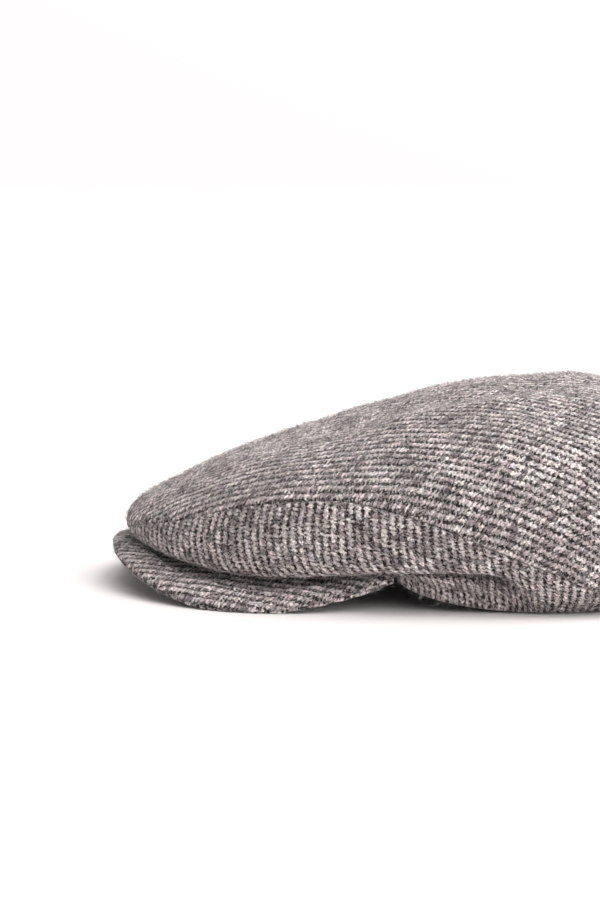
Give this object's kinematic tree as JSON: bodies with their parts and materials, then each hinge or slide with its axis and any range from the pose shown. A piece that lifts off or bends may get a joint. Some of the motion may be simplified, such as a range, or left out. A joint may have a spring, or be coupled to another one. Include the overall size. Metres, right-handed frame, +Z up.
{
  "type": "driving cap",
  "caption": "Soft wool twill driving cap with a low rounded crown pouched forward over a short curved peak, tapering side panels and an open head hollow.",
  "frame": {"origin": "on the surface the cap lies on, below the middle of its length and width", "axes": "+Z up, -Y towards the tip of the peak, +X towards the wearer's left"},
  "size_m": [0.2, 0.275, 0.0878],
  "materials": {
    "top_tweed": "matte wool twill",
    "side_tweed": "matte wool twill",
    "peak_tweed": "matte wool twill",
    "peak_under_tweed": "matte wool twill"
  },
  "bodies": {
    "root": {"top_panel": "top_tweed", "side_panel_left": "side_tweed", "side_panel_right": "side_tweed", "peak_upper_cover": "peak_tweed", "peak_under_cover": "peak_under_tweed"}
  },
  "joints": []
}
